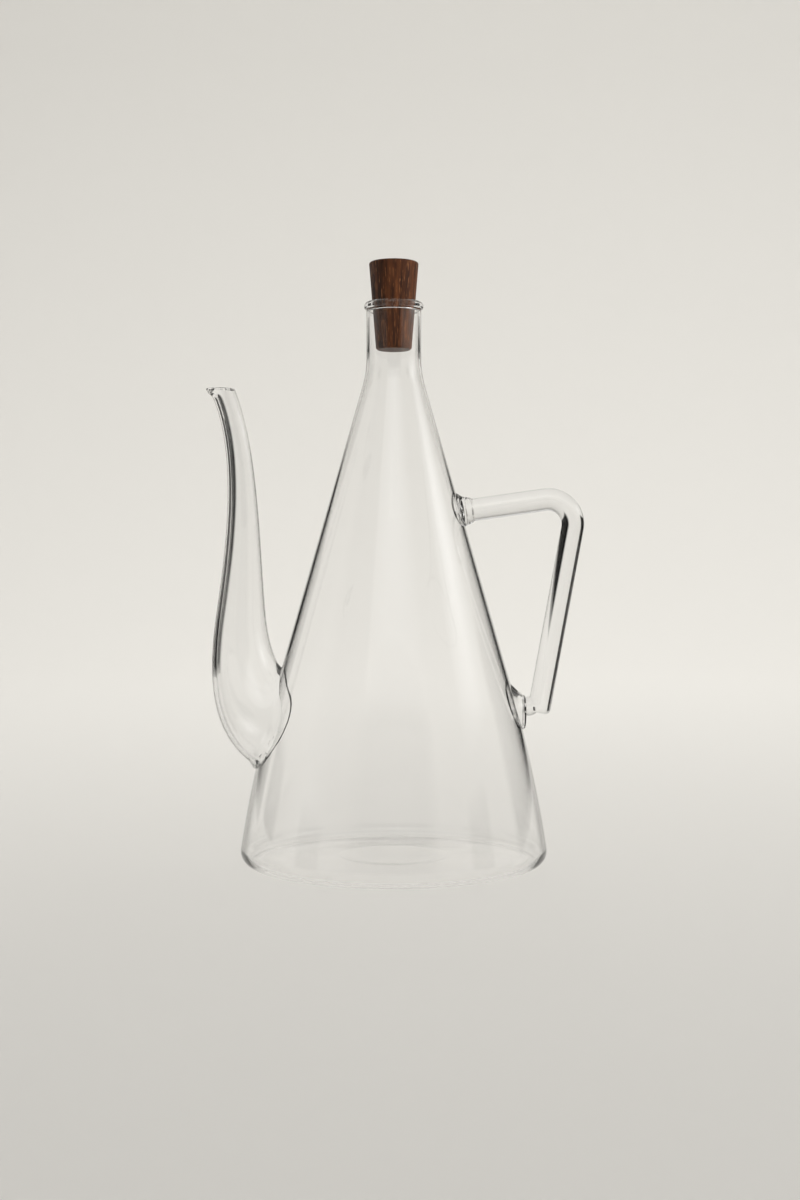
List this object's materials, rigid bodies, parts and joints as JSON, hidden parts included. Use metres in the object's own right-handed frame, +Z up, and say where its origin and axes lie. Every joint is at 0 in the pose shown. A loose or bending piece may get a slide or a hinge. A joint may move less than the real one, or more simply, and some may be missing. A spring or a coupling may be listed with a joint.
{
  "type": "oil cruet",
  "caption": "Cone-shaped clear glass oil cruet with a swan-neck pouring spout, a bent glass rod handle and a tapered wooden stopper that lifts out.",
  "frame": {"origin": "on the flask's axis, at the level that the cruet stands on", "axes": "+Z up along the flask's axis, -X towards the spout, +X towards the handle"},
  "size_m": [0.1593, 0.1298, 0.2516],
  "materials": {
    "clear_glass": "clear, polished",
    "dark_wood": "oiled, satin"
  },
  "bodies": {
    "bottle": {"flask_body": "clear_glass", "mouth_lip": "clear_glass", "spout": "clear_glass", "spout_seal": "clear_glass", "handle_rod": "clear_glass", "handle_upper_seal": "clear_glass", "handle_lower_seal": "clear_glass"},
    "stopper": {"stopper": "dark_wood"}
  },
  "joints": [
    {"name": "stopper_lift", "type": "slide", "parent": "bottle", "child": "stopper", "axis": [0, 0, 1], "range_m": [0, 0.045]}
  ]
}
